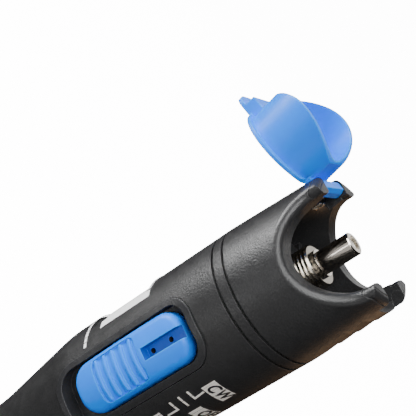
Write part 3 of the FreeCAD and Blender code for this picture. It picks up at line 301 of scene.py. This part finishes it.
prong_shape = bmesh.new()
for side_x in (-1, 1):
    for side_y in (-1, 1):
        corner = bmesh.new()
        bmesh.ops.create_circle(
            corner, cap_ends=True, segments=40, radius=corner_round,
            matrix=Matrix.Rotation(corner_start, 4, "Z")
            @ Matrix.Translation((tip_radius - corner_round, 0, tip_height - corner_round))
            @ Matrix.Rotation(math.radians(90), 4, "X"))
        bmesh.ops.spin(corner, geom=all_of(corner), cent=(0, 0, 0), axis=(0, 0, 1),
                       angle=corner_sweep, steps=corner_steps)
        for spot, facing in prong_cuts:
            halves = bmesh.ops.bisect_plane(corner, geom=all_of(corner), plane_co=spot,
                                            plane_no=facing, clear_outer=True)
            rim = [item for item in halves["geom_cut"] if isinstance(item, bmesh.types.BMEdge)]
            bmesh.ops.holes_fill(corner, edges=rim, sides=0)
        bmesh.ops.scale(corner, vec=(side_x, side_y, 1), verts=corner.verts[:])
        bmesh.ops.recalc_face_normals(corner, faces=corner.faces[:])
        join_shape(prong_shape, corner)
shade_smooth(prong_shape)
prong_ends = as_piece("prong_ends", prong_shape)
prong_ends.data.materials.append(shell_black)
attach(prong_ends, "root")


# ---- The main housing -------------------------------------------------------
# The switch section and the neck, in one black ABS moulding with the same grain.
# Its two mould halves leave a hairline seam down each side.

housing_black = moulded("housing_black", (0.017, 0.0171, 0.0176), (0.024, 0.0242, 0.0248), 0.42)
housing_tree = housing_black.node_tree
housing_shader = housing_tree.nodes["Principled BSDF"]
seam_half = 0.07 * mm
seam_place = housing_tree.nodes.new("ShaderNodeSeparateXYZ")
housing_tree.links.new(stretched_place(housing_tree), seam_place.inputs["Vector"])
seam_distance = housing_tree.nodes.new("ShaderNodeMath")
seam_distance.operation = "ABSOLUTE"
housing_tree.links.new(seam_place.outputs["Y"], seam_distance.inputs[0])
seam_share = ranged(housing_tree, seam_distance.outputs["Value"], 1.0, 0.0,
                    seam_half, seam_half * 3)
plain_colour = housing_shader.inputs["Base Color"].links[0].from_socket
seam_shade = (0.003, 0.003, 0.003)
housing_tree.links.new(blended(housing_tree, seam_share, plain_colour, seam_shade),
                       housing_shader.inputs["Base Color"])
dress("main_housing", housing_black)


# ---- The printed legends ----------------------------------------------------
# Pad-printed in light grey ink beside the switch: a filled sign for each of its
# three places, with a leader to it. One fine white band round the neck, at the rear
# edge of the label recess, is a painted highlight where that step catches the light.

shoulder_height, shoulder_radius = tip_height - 22.5 * mm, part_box("front_shell")[1][0]
neck_height, neck_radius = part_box("switch_bezel")[0][2] + 1.6 * mm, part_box("main_housing")[1][0]
ink_thickness, slice_width = 0.03 * mm, 0.35 * mm
capital_share, letter_width, letter_space = 0.7, 0.8, 1.14
letter_height, letter_slant, letter_weight = 2.3 * mm, 0.25, 0.040


def barrel_radius(height):
    """The housing's slightly tapered outside between its neck and its grooves."""
    share = (height - neck_height) / (shoulder_height - neck_height)
    return neck_radius + (shoulder_radius - neck_radius) * share


def flat_place(degrees, below_tip):
    """A place on the barrel, laid flat: round it from the switch side, and up it."""
    return Vector((math.radians(degrees) * neck_radius, tip_height - below_tip * mm, 0))


def lay_patch(shaping, low, high):
    """A flat patch between two opposite corners."""
    middle, size = (low + high) / 2, high - low
    place = Matrix.Translation(middle) @ Matrix.Diagonal((abs(size.x), abs(size.y), 1, 1))
    bmesh.ops.create_grid(shaping, x_segments=1, y_segments=1, size=0.5, matrix=place)


def lay_stroke(shaping, start, end, width):
    """A flat stroke with square ends that run on by half its width."""
    run = end - start
    place = (Matrix.Translation((start + end) / 2)
             @ Matrix.Rotation(math.atan2(run.y, run.x), 4, "Z")
             @ Matrix.Diagonal((run.length + width, width, 1, 1)))
    bmesh.ops.create_grid(shaping, x_segments=1, y_segments=1, size=0.5, matrix=place)


def lay_word(shaping, word, middle):
    """A bold slanted word, centred on a flat place."""
    lettering = bpy.data.curves.new("lettering", "FONT")
    lettering.body = word
    lettering.size = letter_height / capital_share
    lettering.shear = letter_slant
    lettering.offset = letter_height * letter_weight
    lettering.space_character = letter_space
    lettering.align_x = "CENTER"
    lettering.align_y = "CENTER"
    carrier = bpy.data.objects.new("lettering", lettering)
    scene.collection.objects.link(carrier)
    seen = carrier.evaluated_get(bpy.context.evaluated_depsgraph_get())
    drawn = bpy.data.meshes.new_from_object(seen)
    drawn.transform(Matrix.Translation(middle) @ Matrix.Diagonal((letter_width, 1, 1, 1)))
    shaping.from_mesh(drawn)
    bpy.data.objects.remove(carrier)
    bpy.data.meshes.remove(drawn)


def print_on_barrel(name, shaping, lift, finish, thickness=ink_thickness):
    """Slices a flat print, wraps it round the barrel and gives it a thickness.
    The lift off the barrel is a size, or a function of the height."""
    low = min(vertex.co.x for vertex in shaping.verts)
    high = max(vertex.co.x for vertex in shaping.verts)
    for number in range(1, int((high - low) / slice_width) + 1):
        bmesh.ops.bisect_plane(shaping, geom=all_of(shaping), plane_no=(1, 0, 0),
                               plane_co=(low + number * slice_width, 0, 0))
    for vertex in shaping.verts:
        turn = vertex.co.x / neck_radius
        off_barrel = lift(vertex.co.y) if callable(lift) else lift
        reach = barrel_radius(vertex.co.y) + off_barrel
        vertex.co = (reach * math.sin(turn), -reach * math.cos(turn), vertex.co.y)
    shaping.normal_update()
    inward = [face for face in shaping.faces
              if face.normal.xy.dot(face.calc_center_median().xy) < 0]
    bmesh.ops.reverse_faces(shaping, faces=inward)
    bmesh.ops.solidify(shaping, geom=shaping.faces[:], thickness=thickness)
    bmesh.ops.recalc_face_normals(shaping, faces=shaping.faces[:])
    piece = as_piece(name, shaping)
    piece.data.materials.append(finish)
    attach(piece, "root")
    return piece


def mottled(name, rough, colours, blot, grain, depth, ease, strength=0.5, detail=3.0):
    """A thin even material: two close colours in blots, over a fine grain."""
    finish, tree, shader = new_finish(name, rough)
    blots = ranged(tree, cloud(tree, blot), 0.0, 1.0)
    tree.links.new(blended(tree, blots, *colours), shader.inputs["Base Color"])
    bumped(tree, shader, cloud(tree, grain, detail), depth, strength, ease)
    return finish


def ink(name, *colours):
    """Printing ink: slightly uneven, so the plastic's grain shows through."""
    return mottled(name, 0.5, colours, 0.3 * mm, 0.16 * mm, 0.008 * mm, 0.02 * mm, detail=2.0)


light_ink = ink("light_ink", (0.88, 0.84, 0.78), (0.78, 0.74, 0.68))
painted_highlight_white = ink("painted_highlight_white", (0.96, 0.96, 0.95), (0.90, 0.90, 0.89))
dark_ink = ink("dark_ink", (0.012, 0.012, 0.013), (0.02, 0.02, 0.021))

# Places are degrees round the barrel and millimetres below the prong tips. A sign
# is given by its left and rear edges, then its right and front ones.
signs = {
    "CW": (43.2, 34.5, 67.4, 31.5),
    "OFF": (58.3, 40.75, 91.0, 37.9),
    "pulse": (43.0, 47.3, 67.0, 44.3),
}
leaders = [
    [(40.2, 37.0), (48.4, 37.0), (47.4, 34.9)],
    [(40.6, 39.1), (50.6, 39.1)],
    [(40.8, 41.2), (49.4, 41.2), (49.6, 43.4)],
]
leader_width, pulse_width = 0.42 * mm, 0.3 * mm
print_lift, letter_lift = 0.006 * mm, 0.05 * mm

signwork = bmesh.new()
for left, rear, right, front in signs.values():
    lay_patch(signwork, flat_place(left, rear), flat_place(right, front))
for leader in leaders:
    for begin, finish_at in zip(leader, leader[1:]):
        lay_stroke(signwork, flat_place(*begin), flat_place(*finish_at), leader_width)
print_on_barrel("switch_signs", signwork, print_lift, light_ink)

letterwork = bmesh.new()
for word in ("CW", "OFF"):
    left, rear, right, front = signs[word]
    lay_word(letterwork, word, flat_place((left + right) / 2, (rear + front) / 2))
left, rear, right, front = signs["pulse"]
pulse_inset, pulse_step = 0.8, 4
base, crest = rear - pulse_inset, front + pulse_inset
corners = ((1, base), (2, base), (2, crest), (3, crest),
           (3, base), (4, base), (4, crest), (5, crest))
pulse = [(left + pulse_step * count, level) for count, level in corners]
for begin, finish_at in zip(pulse, pulse[1:]):
    lay_stroke(letterwork, flat_place(*begin), flat_place(*finish_at), pulse_width)
print_on_barrel("switch_sign_letters", letterwork, letter_lift, dark_ink)

# A painted highlight: a thin white band round the neck, along the rear step of the label recess,
# where that step catches the light.
line_far, line_near, line_rear, line_front = -128, -33.8, 52.8, 52.1
highlight_band_shape = bmesh.new()
lay_patch(highlight_band_shape, flat_place(line_far, line_rear), flat_place(line_near, line_front))
print_on_barrel("neck_painted_highlight", highlight_band_shape, print_lift, painted_highlight_white)


# ---- The sticker ------------------------------------------------------------
# A bare white polyester label, pressed on with its own glue: it lies in the shallow
# recess on the hinge side and its near edge laps over the recess's rim.

sticker_white = mottled("sticker_white", 0.42, ((0.96, 0.965, 0.97), (0.99, 0.99, 0.99)),
                        2.5 * mm, 0.5 * mm, 0.006 * mm, 0.03 * mm)
dress("rating_label", sticker_white)
sticker_film, lap_film, lap_lift, recess_depth = 0.10 * mm, 0.02 * mm, 0.01 * mm, 0.6 * mm
far_side, near_side, lap_far, lap_near = -126, -55, -53.2, -45
sticker_rear, slope_rear, slope_front, sticker_front = 48.8, 38.5, 36.9, 36.4
slope_foot, slope_run = tip_height - slope_rear * mm, 1.6 * mm


def sticker_lift(height):
    """The sticker lies on the recess's floor and climbs the slope at its front."""
    climbed = min(1, max(0, (height - slope_foot) / slope_run))
    return sticker_film * 1.2 - recess_depth * (1 - climbed)


laid = bmesh.new()
breaks = (sticker_rear, slope_rear, slope_front, sticker_front)
for rear, front in zip(breaks, breaks[1:]):
    lay_patch(laid, flat_place(far_side, rear), flat_place(near_side, front))
bmesh.ops.remove_doubles(laid, verts=laid.verts[:], dist=0.001 * mm)
sunk_sticker = print_on_barrel("sticker", laid, sticker_lift, sticker_white, sticker_film)
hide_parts("rating_label")
lapped = bmesh.new()
lay_patch(lapped, flat_place(lap_far, sticker_rear), flat_place(lap_near, sticker_front))
print_on_barrel("sticker_lap", lapped, lap_lift, sticker_white, lap_film)


# ---- The handle -------------------------------------------------------------
# A plain black tube for two cells, moulded with a finer grain than the head, and
# a fluted screw cap at its tail that squeezes a rubber ring.

handle_black = moulded("handle_black", (0.013, 0.0135, 0.015), (0.02, 0.0205, 0.022), 0.42,
                       grain=0.12 * mm)
dress("battery_tube", handle_black)
tail_black = moulded("tail_black", (0.011, 0.0115, 0.0125), (0.017, 0.0175, 0.019), 0.45,
                     wear_and_sheen=0.8)
dress("tail_cap", tail_black)
ring_rubber = mottled("ring_rubber", 0.62, ((0.008, 0.008, 0.008), (0.022, 0.022, 0.023)),
                      1.2 * mm, 0.08 * mm, 0.01 * mm, 0.05 * mm)
dress("tail_o_ring", ring_rubber)


# ---- The cells and their contacts -------------------------------------------
# Two plain alkaline cells in shrunk film jackets, a plated coil spring behind
# them, and a brass contact in a fibre disc in front.

def metal(name, colour, tarnish, rough, lines=0.05 * mm, stretch=(0.05, 0.05, 1),
          depth=0.001 * mm, ease=0.06 * mm):
    """A turned or drawn metal: tarnish in patches and fine lines round the pen."""
    finish, tree, shader = new_finish(name, rough, 1.0)
    patches = ranged(tree, cloud(tree, 1.8 * mm), 0.0, 0.4)
    tree.links.new(blended(tree, patches, colour, tarnish), shader.inputs["Base Color"])
    turning = cloud(tree, lines, 2.0, stretch)
    tree.links.new(ranged(tree, turning, rough - 0.03, rough + 0.04), shader.inputs["Roughness"])
    bumped(tree, shader, turning, depth, 0.5, ease)
    return finish


spring_steel = metal("spring_steel", (0.62, 0.60, 0.57), (0.48, 0.45, 0.41), 0.28)
dress("battery_spring", spring_steel)

cell_jacket, jacket_tree, jacket_shader = new_finish("cell_jacket", 0.32)
jacket_place = jacket_tree.nodes.new("ShaderNodeSeparateXYZ")
jacket_tree.links.new(stretched_place(jacket_tree), jacket_place.inputs["Vector"])
cell_low, cell_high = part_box("battery_rear")[0][2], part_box("battery_front")[1][2]
cell_pitch = (cell_high - cell_low) / 2
cell_share = jacket_tree.nodes.new("ShaderNodeMath")
cell_share.operation = "PINGPONG"
cell_share.inputs[1].default_value = cell_pitch
jacket_tree.links.new(jacket_place.outputs["Z"], cell_share.inputs[0])
band = ranged(jacket_tree, cell_share.outputs["Value"], 0.0, 1.0,
              cell_pitch * 0.62, cell_pitch * 0.63)
jacket_print = blended(jacket_tree, band, (0.03, 0.12, 0.06), (0.55, 0.42, 0.16))
jacket_haze = ranged(jacket_tree, cloud(jacket_tree, 3 * mm), 0.0, 0.4)
jacket_tree.links.new(blended(jacket_tree, jacket_haze, jacket_print, (0.10, 0.12, 0.10)),
                      jacket_shader.inputs["Base Color"])
bumped(jacket_tree, jacket_shader, cloud(jacket_tree, 0.8 * mm), 0.02 * mm, 0.4, 0.1 * mm)
dress("battery_rear", cell_jacket)
dress("battery_front", cell_jacket)

disc_fibre = moulded("disc_fibre", (0.16, 0.06, 0.03), (0.22, 0.09, 0.05), 0.6)
dress("contact_disc", disc_fibre)
contact_brass = metal("contact_brass", (0.78, 0.60, 0.30), (0.58, 0.42, 0.20), 0.25)
dress("front_contact", contact_brass)


# ---- The connector ----------------------------------------------------------
# A nickelled brass collar with a fine thread, a thin steel tube standing in it,
# and inside that the slit ceramic sleeve that lines up a plug's ferrule.

collar_nickel = metal("collar_nickel", (0.42, 0.385, 0.33), (0.32, 0.29, 0.24), 0.20)
dress("connector_collar", collar_nickel)
tube_steel = metal("tube_steel", (0.78, 0.72, 0.64), (0.66, 0.60, 0.52), 0.16)
dress("ferrule_tube", tube_steel)
sleeve_ceramic = mottled("sleeve_ceramic", 0.22, ((0.82, 0.80, 0.74), (0.90, 0.88, 0.83)),
                         0.4 * mm, 0.05 * mm, 0.002 * mm, 0.03 * mm, strength=0.4)
dress("alignment_sleeve", sleeve_ceramic)


# ---- The laser --------------------------------------------------------------
# A turned brass barrel pressed behind the collar holds the diode's steel can and
# a small coated lens, glued in at its focus.

laser_brass = metal("laser_brass", (0.72, 0.56, 0.30), (0.55, 0.41, 0.20), 0.28)
dress("laser_housing", laser_brass)
diode_steel = metal("diode_steel", (0.66, 0.63, 0.58), (0.50, 0.47, 0.42), 0.22)
dress("laser_diode", diode_steel)
lens_glass, lens_tree, lens_shader = new_finish("lens_glass", 0.05)
lens_shader.inputs["Transmission Weight"].default_value = 1.0
lens_shader.inputs["IOR"].default_value = 1.58
lens_coat = ranged(lens_tree, cloud(lens_tree, 1.5 * mm), 0.0, 1.0)
lens_tree.links.new(blended(lens_tree, lens_coat, (0.88, 0.95, 0.98), (0.96, 0.90, 0.98)),
                    lens_shader.inputs["Base Color"])
dress("collimating_lens", lens_glass)


# ---- The board --------------------------------------------------------------
# A green fibreglass board under the switch carries a driver chip, a capacitor
# and the slide switch, all soldered before it goes into the housing.

board_green, board_tree, board_shader = new_finish("board_green", 0.38)
weave = board_tree.nodes.new("ShaderNodeTexBrick")
weave.inputs["Scale"].default_value = 1 / (1.2 * mm)
weave.inputs["Color1"].default_value = (0.010, 0.095, 0.035, 1)
weave.inputs["Color2"].default_value = (0.014, 0.115, 0.045, 1)
weave.inputs["Mortar"].default_value = (0.03, 0.20, 0.08, 1)
weave.inputs["Mortar Size"].default_value = 0.04
board_turn = board_tree.nodes.new("ShaderNodeMapping")
board_turn.inputs["Rotation"].default_value = (math.radians(90), 0, 0)
board_tree.links.new(stretched_place(board_tree), board_turn.inputs["Vector"])
board_tree.links.new(board_turn.outputs["Vector"], weave.inputs["Vector"])
board_tree.links.new(weave.outputs["Color"], board_shader.inputs["Base Color"])
bumped(board_tree, board_shader, weave.outputs["Fac"], 0.02 * mm, 0.4, 0.03 * mm)
dress("circuit_board", board_green)

chip_resin = moulded("chip_resin", (0.014, 0.014, 0.015), (0.024, 0.024, 0.025), 0.55)
dress("driver_chip", chip_resin)
capacitor_can = metal("capacitor_can", (0.70, 0.70, 0.71), (0.58, 0.58, 0.60), 0.30)
dress("board_capacitor", capacitor_can)
switch_nylon = moulded("switch_nylon", (0.018, 0.018, 0.019), (0.03, 0.03, 0.031), 0.5)
dress("slide_switch_body", switch_nylon)
dress("switch_lever", switch_nylon)


# ---- The switch surround and the slide --------------------------------------
# A black surround snaps into the housing's window. The blue slide runs in it, one
# ABS moulding in the place of the plain button: a sunk panel with ribs for the thumb,
# and a notch with two small holes through its floor.

bezel_black = moulded("bezel_black", (0.016, 0.0165, 0.018), (0.026, 0.0265, 0.028), 0.36,
                      ease=0.18 * mm)
dress("switch_bezel", bezel_black)


def blue_plastic(name, rough, glow):
    """The blue moulding: a clear bright blue that lets a little light in."""
    finish = moulded(name, (0.001, 0.20, 0.97), (0.002, 0.23, 1.0), rough, grain=0.10 * mm,
                     depth=0.003 * mm, ease=0.20 * mm, wear_and_sheen=0.7)
    shader = finish.node_tree.nodes["Principled BSDF"]
    shader.inputs["Specular IOR Level"].default_value = 0.2
    shader.inputs["Subsurface Weight"].default_value = glow
    shader.inputs["Subsurface Radius"].default_value = (0.4, 0.8, 1.0)
    shader.inputs["Subsurface Scale"].default_value = 0.6 * mm
    return finish


slide_blue = blue_plastic("slide_blue", 0.38, 0.15)
# Painted shade: the notch's floor and walls take a darker blue than the slide, for the shade inside
# that deep notch.
notch_painted_shade = moulded("notch_painted_shade", (0.001, 0.07, 0.45), (0.002, 0.085, 0.50), 0.45,
                     depth=0.003 * mm, wear_and_sheen=0.4)
hole_shade = moulded("hole_shade", (0.002, 0.003, 0.006), (0.003, 0.004, 0.008), 0.8, wear_and_sheen=0.0)
dress("slide_button", slide_blue)

slide_low, slide_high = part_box("slide_button")
slide_foot, slide_top = slide_low[2] + 0.5 * mm, slide_high[2] - 1.0 * mm
slide_middle = (slide_foot + slide_top) / 2
slide_crest, slide_base, slide_half = -slide_low[1] - 0.1 * mm, -slide_high[1], 4.75 * mm
slide_corner, slide_lip = 3.5 * mm, 0.9 * mm
crown_radius, camber_radius = 11 * mm, 120 * mm
rib_count, rib_pitch, front_rib = 5, 2.1 * mm, slide_low[2] + 15.25 * mm
rib_half, rib_thick, rib_rise, rib_root = 3.85 * mm, 0.68 * mm, 0.1 * mm, 0.9 * mm
rib_corner, rib_lip = 0.3 * mm, 0.18 * mm
panel_half, panel_margin, panel_sink, panel_corner = 4.05 * mm, 1.1 * mm, 0.45 * mm, 1.2 * mm
notch_half, notch_depth, notch_foot = 1.1 * mm, 2.0 * mm, slide_top - 8.4 * mm
hole_count, hole_start, hole_pitch = 2, 1.1, 4.2
hole_radius, hole_depth, overrun = 0.5 * mm, 12 * mm, 2 * mm


def crowned_block(half, foot, top, deep, crest, corner=0.0, lip=0.0, whole=False):
    """A block from foot to top and from deep to crest, with rounded corners and lip.
    Its outer part, or the whole of it, is bent to the slide's crown and camber."""
    cross_step, long_step, hair = 0.4 * mm, 1.5 * mm, 1e-6
    block = bmesh.new()
    size = Matrix.Diagonal((half * 2, crest - deep, top - foot, 1))
    centre = Matrix.Translation((0, -(deep + crest) / 2, (foot + top) / 2))
    bmesh.ops.create_cube(block, size=1, matrix=centre @ size)
    if corner:
        upright = [edge for edge in block.edges
                   if abs(edge.verts[0].co.y - edge.verts[1].co.y) > (crest - deep) / 2]
        bmesh.ops.bevel(block, geom=upright, offset=corner, segments=8, profile=0.5,
                        affect="EDGES", material=-1)
    if lip:
        rim = [edge for edge in block.edges
               if all(vertex.co.y < -crest + hair for vertex in edge.verts)]
        bmesh.ops.bevel(block, geom=rim, offset=lip, segments=5, profile=0.5,
                        affect="EDGES", material=-1)
    for axis, low, high, step in ((0, -half, half, cross_step), (2, foot, top, long_step)):
        facing = Vector((axis == 0, 0, axis == 2))
        for number in range(1, int((high - low) / step)):
            bmesh.ops.bisect_plane(block, geom=all_of(block), plane_no=facing,
                                   plane_co=facing * (low + step * number))
    for vertex in block.verts:
        if whole or vertex.co.y < -(deep + crest) / 2:
            across, along = vertex.co.x, vertex.co.z - slide_middle
            vertex.co.y += crown_radius - math.sqrt(crown_radius ** 2 - across ** 2)
            vertex.co.y += camber_radius - math.sqrt(camber_radius ** 2 - along ** 2)
    bmesh.ops.recalc_face_normals(block, faces=block.faces[:])
    return block


blank = as_piece("slide_blank", crowned_block(slide_half, slide_foot, slide_top, slide_base,
                                              slide_crest, slide_corner, slide_lip))
blank.data.materials.append(slide_blue)
rear_rib = front_rib - rib_pitch * (rib_count - 1)
panel_tool = as_piece("slide_panel", crowned_block(
    panel_half, rear_rib - panel_margin, front_rib + panel_margin,
    slide_crest - panel_sink, slide_crest + overrun, panel_corner, whole=True))
notch_tool = as_piece("slide_notch", crowned_block(
    notch_half, notch_foot, slide_top + overrun / 2,
    slide_crest - notch_depth, slide_crest + overrun))
notch_tool.data.materials.append(notch_painted_shade)
tools = [panel_tool, notch_tool]
for number in range(hole_count):
    hole_height = notch_foot + (hole_start + hole_pitch * number) * mm
    hole = bmesh.new()
    bmesh.ops.create_cone(hole, cap_ends=True, segments=24, radius1=hole_radius,
                          radius2=hole_radius, depth=hole_depth,
                          matrix=Matrix.Translation((0, -slide_crest, hole_height))
                          @ Matrix.Rotation(math.radians(90), 4, "X"))
    hole_tool = as_piece(f"slide_hole_{number + 1}", hole)
    hole_tool.data.materials.append(hole_shade)
    tools.append(hole_tool)
for tool in tools:
    carving = blank.modifiers.new("carving", "BOOLEAN")
    carving.operation, carving.solver, carving.object = "DIFFERENCE", "EXACT", tool
    carving.material_mode = "TRANSFER"
carved_blank = blank.evaluated_get(bpy.context.evaluated_depsgraph_get())
carved = bpy.data.meshes.new_from_object(carved_blank)
for piece in [blank, *tools]:
    bpy.data.objects.remove(piece)

slide_shape = bmesh.new()
slide_shape.from_mesh(carved)
slide_finishes = list(carved.materials)
bpy.data.meshes.remove(carved)
for number in range(rib_count):
    middle = front_rib - rib_pitch * number
    rib = crowned_block(rib_half, middle - rib_thick / 2, middle + rib_thick / 2,
                        slide_crest - rib_root, slide_crest + rib_rise,
                        rib_corner, rib_lip, whole=True)
    join_shape(slide_shape, rib)
shade_smooth(slide_shape)
slide = as_piece("slide", slide_shape)
for finish in slide_finishes:
    slide.data.materials.append(finish)
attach(slide, "slider")
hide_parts("slide_button")


# ---- The dust cap -----------------------------------------------------------
# A thin domed plate with two lobes that close the scallops, a latch block and a
# thumb tab, in the same blue as the slide. It swings on a steel pin.

cap_blue = blue_plastic("cap_blue", 0.36, 0.30)
dress("dust_cap", cap_blue)
pin_steel = metal("pin_steel", (0.60, 0.57, 0.53), (0.46, 0.43, 0.39), 0.22)
dress("hinge_pin", pin_steel)
catch_steel = metal("catch_steel", (0.74, 0.68, 0.58), (0.60, 0.52, 0.42), 0.25)
dress("cap_spring", catch_steel)
